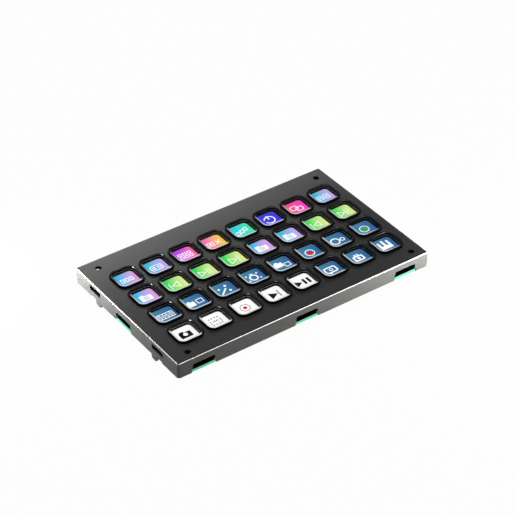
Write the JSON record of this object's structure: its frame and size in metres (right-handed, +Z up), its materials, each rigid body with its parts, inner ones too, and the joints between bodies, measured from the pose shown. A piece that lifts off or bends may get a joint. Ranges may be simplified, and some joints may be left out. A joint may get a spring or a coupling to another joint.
{
  "type": "screen key module",
  "caption": "Panel-mount key module: clear sprung push keys over one display, in a folded sheet-metal frame with corner bolt holes and a circuit board behind.",
  "frame": {"origin": "centre of the footprint, on the plane of the four lugs that the module stands on", "axes": "+Z up out of the keys, +X along the long side to the right, +Y to the back, where the socket is"},
  "size_m": [0.1678, 0.1022, 0.0135],
  "materials": {
    "frame_metal": "satin black print on bare steel edges",
    "black_plastic": "moulded, matt",
    "dome_silicone": "matt silicone",
    "black_board": "black solder mask",
    "flex_film": "polyimide film",
    "display_glass": "polished",
    "light_guide_acrylic": "clear acrylic",
    "tray_steel": "folded sheet",
    "green_board": "glass-fibre laminate",
    "grey_foam": "closed-cell foam",
    "stud_metal": "turned",
    "screw_metal": "zinc plated",
    "connector_plastic": "moulded",
    "socket_metal": "drawn shell",
    "chip_plastic": "moulded epoxy",
    "diffuser_film": "frosted polyester film",
    "led_white": "white flexible board with phosphor lamps",
    "ceramic_parts": "fired ceramic with tinned ends",
    "clear_cap": "polished clear acrylic"
  },
  "bodies": {
    "module": {"front_frame": "frame_metal", "key_guide": "black_plastic", "dome_sheet": "dome_silicone", "contact_board": "black_board", "contact_flex": "flex_film", "display_spacer": "black_plastic", "display_glass": "display_glass", "optical_films": "diffuser_film", "light_guide": "light_guide_acrylic", "led_strip": "led_white", "backlight_tray": "tray_steel", "display_flex": "flex_film", "main_board": "green_board", "support_foam": "grey_foam", "panel_studs": "stud_metal", "board_screws": "screw_metal", "display_connector": "connector_plastic", "contact_connector": "connector_plastic", "usb_socket": "socket_metal", "usb_tongue": "black_plastic", "board_chips": "chip_plastic", "power_parts": "chip_plastic", "board_passives": "ceramic_parts"},
    "push_key_r1_c1": {"key_r1_c1": "clear_cap"},
    "push_key_r1_c2": {"key_r1_c2": "clear_cap"},
    "push_key_r1_c3": {"key_r1_c3": "clear_cap"},
    "push_key_r1_c4": {"key_r1_c4": "clear_cap"},
    "push_key_r1_c5": {"key_r1_c5": "clear_cap"},
    "push_key_r1_c6": {"key_r1_c6": "clear_cap"},
    "push_key_r1_c7": {"key_r1_c7": "clear_cap"},
    "push_key_r1_c8": {"key_r1_c8": "clear_cap"},
    "push_key_r2_c1": {"key_r2_c1": "clear_cap"},
    "push_key_r2_c2": {"key_r2_c2": "clear_cap"},
    "push_key_r2_c3": {"key_r2_c3": "clear_cap"},
    "push_key_r2_c4": {"key_r2_c4": "clear_cap"},
    "push_key_r2_c5": {"key_r2_c5": "clear_cap"},
    "push_key_r2_c6": {"key_r2_c6": "clear_cap"},
    "push_key_r2_c7": {"key_r2_c7": "clear_cap"},
    "push_key_r2_c8": {"key_r2_c8": "clear_cap"},
    "push_key_r3_c1": {"key_r3_c1": "clear_cap"},
    "push_key_r3_c2": {"key_r3_c2": "clear_cap"},
    "push_key_r3_c3": {"key_r3_c3": "clear_cap"},
    "push_key_r3_c4": {"key_r3_c4": "clear_cap"},
    "push_key_r3_c5": {"key_r3_c5": "clear_cap"},
    "push_key_r3_c6": {"key_r3_c6": "clear_cap"},
    "push_key_r3_c7": {"key_r3_c7": "clear_cap"},
    "push_key_r3_c8": {"key_r3_c8": "clear_cap"},
    "push_key_r4_c1": {"key_r4_c1": "clear_cap"},
    "push_key_r4_c2": {"key_r4_c2": "clear_cap"},
    "push_key_r4_c3": {"key_r4_c3": "clear_cap"},
    "push_key_r4_c4": {"key_r4_c4": "clear_cap"},
    "push_key_r4_c5": {"key_r4_c5": "clear_cap"},
    "push_key_r4_c6": {"key_r4_c6": "clear_cap"},
    "push_key_r4_c7": {"key_r4_c7": "clear_cap"},
    "push_key_r4_c8": {"key_r4_c8": "clear_cap"}
  },
  "joints": [
    {"name": "press_r1_c1", "type": "slide", "parent": "module", "child": "push_key_r1_c1", "axis": [0, 0, -1], "range_m": [0, 0.0009], "stiffness_N_per_m": 300, "springref_m": -0.001, "deforming": ["dome_sheet"]},
    {"name": "press_r1_c2", "type": "slide", "parent": "module", "child": "push_key_r1_c2", "axis": [0, 0, -1], "range_m": [0, 0.0009], "stiffness_N_per_m": 300, "springref_m": -0.001, "deforming": ["dome_sheet"]},
    {"name": "press_r1_c3", "type": "slide", "parent": "module", "child": "push_key_r1_c3", "axis": [0, 0, -1], "range_m": [0, 0.0009], "stiffness_N_per_m": 300, "springref_m": -0.001, "deforming": ["dome_sheet"]},
    {"name": "press_r1_c4", "type": "slide", "parent": "module", "child": "push_key_r1_c4", "axis": [0, 0, -1], "range_m": [0, 0.0009], "stiffness_N_per_m": 300, "springref_m": -0.001, "deforming": ["dome_sheet"]},
    {"name": "press_r1_c5", "type": "slide", "parent": "module", "child": "push_key_r1_c5", "axis": [0, 0, -1], "range_m": [0, 0.0009], "stiffness_N_per_m": 300, "springref_m": -0.001, "deforming": ["dome_sheet"]},
    {"name": "press_r1_c6", "type": "slide", "parent": "module", "child": "push_key_r1_c6", "axis": [0, 0, -1], "range_m": [0, 0.0009], "stiffness_N_per_m": 300, "springref_m": -0.001, "deforming": ["dome_sheet"]},
    {"name": "press_r1_c7", "type": "slide", "parent": "module", "child": "push_key_r1_c7", "axis": [0, 0, -1], "range_m": [0, 0.0009], "stiffness_N_per_m": 300, "springref_m": -0.001, "deforming": ["dome_sheet"]},
    {"name": "press_r1_c8", "type": "slide", "parent": "module", "child": "push_key_r1_c8", "axis": [0, 0, -1], "range_m": [0, 0.0009], "stiffness_N_per_m": 300, "springref_m": -0.001, "deforming": ["dome_sheet"]},
    {"name": "press_r2_c1", "type": "slide", "parent": "module", "child": "push_key_r2_c1", "axis": [0, 0, -1], "range_m": [0, 0.0009], "stiffness_N_per_m": 300, "springref_m": -0.001, "deforming": ["dome_sheet"]},
    {"name": "press_r2_c2", "type": "slide", "parent": "module", "child": "push_key_r2_c2", "axis": [0, 0, -1], "range_m": [0, 0.0009], "stiffness_N_per_m": 300, "springref_m": -0.001, "deforming": ["dome_sheet"]},
    {"name": "press_r2_c3", "type": "slide", "parent": "module", "child": "push_key_r2_c3", "axis": [0, 0, -1], "range_m": [0, 0.0009], "stiffness_N_per_m": 300, "springref_m": -0.001, "deforming": ["dome_sheet"]},
    {"name": "press_r2_c4", "type": "slide", "parent": "module", "child": "push_key_r2_c4", "axis": [0, 0, -1], "range_m": [0, 0.0009], "stiffness_N_per_m": 300, "springref_m": -0.001, "deforming": ["dome_sheet"]},
    {"name": "press_r2_c5", "type": "slide", "parent": "module", "child": "push_key_r2_c5", "axis": [0, 0, -1], "range_m": [0, 0.0009], "stiffness_N_per_m": 300, "springref_m": -0.001, "deforming": ["dome_sheet"]},
    {"name": "press_r2_c6", "type": "slide", "parent": "module", "child": "push_key_r2_c6", "axis": [0, 0, -1], "range_m": [0, 0.0009], "stiffness_N_per_m": 300, "springref_m": -0.001, "deforming": ["dome_sheet"]},
    {"name": "press_r2_c7", "type": "slide", "parent": "module", "child": "push_key_r2_c7", "axis": [0, 0, -1], "range_m": [0, 0.0009], "stiffness_N_per_m": 300, "springref_m": -0.001, "deforming": ["dome_sheet"]},
    {"name": "press_r2_c8", "type": "slide", "parent": "module", "child": "push_key_r2_c8", "axis": [0, 0, -1], "range_m": [0, 0.0009], "stiffness_N_per_m": 300, "springref_m": -0.001, "deforming": ["dome_sheet"]},
    {"name": "press_r3_c1", "type": "slide", "parent": "module", "child": "push_key_r3_c1", "axis": [0, 0, -1], "range_m": [0, 0.0009], "stiffness_N_per_m": 300, "springref_m": -0.001, "deforming": ["dome_sheet"]},
    {"name": "press_r3_c2", "type": "slide", "parent": "module", "child": "push_key_r3_c2", "axis": [0, 0, -1], "range_m": [0, 0.0009], "stiffness_N_per_m": 300, "springref_m": -0.001, "deforming": ["dome_sheet"]},
    {"name": "press_r3_c3", "type": "slide", "parent": "module", "child": "push_key_r3_c3", "axis": [0, 0, -1], "range_m": [0, 0.0009], "stiffness_N_per_m": 300, "springref_m": -0.001, "deforming": ["dome_sheet"]},
    {"name": "press_r3_c4", "type": "slide", "parent": "module", "child": "push_key_r3_c4", "axis": [0, 0, -1], "range_m": [0, 0.0009], "stiffness_N_per_m": 300, "springref_m": -0.001, "deforming": ["dome_sheet"]},
    {"name": "press_r3_c5", "type": "slide", "parent": "module", "child": "push_key_r3_c5", "axis": [0, 0, -1], "range_m": [0, 0.0009], "stiffness_N_per_m": 300, "springref_m": -0.001, "deforming": ["dome_sheet"]},
    {"name": "press_r3_c6", "type": "slide", "parent": "module", "child": "push_key_r3_c6", "axis": [0, 0, -1], "range_m": [0, 0.0009], "stiffness_N_per_m": 300, "springref_m": -0.001, "deforming": ["dome_sheet"]},
    {"name": "press_r3_c7", "type": "slide", "parent": "module", "child": "push_key_r3_c7", "axis": [0, 0, -1], "range_m": [0, 0.0009], "stiffness_N_per_m": 300, "springref_m": -0.001, "deforming": ["dome_sheet"]},
    {"name": "press_r3_c8", "type": "slide", "parent": "module", "child": "push_key_r3_c8", "axis": [0, 0, -1], "range_m": [0, 0.0009], "stiffness_N_per_m": 300, "springref_m": -0.001, "deforming": ["dome_sheet"]},
    {"name": "press_r4_c1", "type": "slide", "parent": "module", "child": "push_key_r4_c1", "axis": [0, 0, -1], "range_m": [0, 0.0009], "stiffness_N_per_m": 300, "springref_m": -0.001, "deforming": ["dome_sheet"]},
    {"name": "press_r4_c2", "type": "slide", "parent": "module", "child": "push_key_r4_c2", "axis": [0, 0, -1], "range_m": [0, 0.0009], "stiffness_N_per_m": 300, "springref_m": -0.001, "deforming": ["dome_sheet"]},
    {"name": "press_r4_c3", "type": "slide", "parent": "module", "child": "push_key_r4_c3", "axis": [0, 0, -1], "range_m": [0, 0.0009], "stiffness_N_per_m": 300, "springref_m": -0.001, "deforming": ["dome_sheet"]},
    {"name": "press_r4_c4", "type": "slide", "parent": "module", "child": "push_key_r4_c4", "axis": [0, 0, -1], "range_m": [0, 0.0009], "stiffness_N_per_m": 300, "springref_m": -0.001, "deforming": ["dome_sheet"]},
    {"name": "press_r4_c5", "type": "slide", "parent": "module", "child": "push_key_r4_c5", "axis": [0, 0, -1], "range_m": [0, 0.0009], "stiffness_N_per_m": 300, "springref_m": -0.001, "deforming": ["dome_sheet"]},
    {"name": "press_r4_c6", "type": "slide", "parent": "module", "child": "push_key_r4_c6", "axis": [0, 0, -1], "range_m": [0, 0.0009], "stiffness_N_per_m": 300, "springref_m": -0.001, "deforming": ["dome_sheet"]},
    {"name": "press_r4_c7", "type": "slide", "parent": "module", "child": "push_key_r4_c7", "axis": [0, 0, -1], "range_m": [0, 0.0009], "stiffness_N_per_m": 300, "springref_m": -0.001, "deforming": ["dome_sheet"]},
    {"name": "press_r4_c8", "type": "slide", "parent": "module", "child": "push_key_r4_c8", "axis": [0, 0, -1], "range_m": [0, 0.0009], "stiffness_N_per_m": 300, "springref_m": -0.001, "deforming": ["dome_sheet"]}
  ]
}
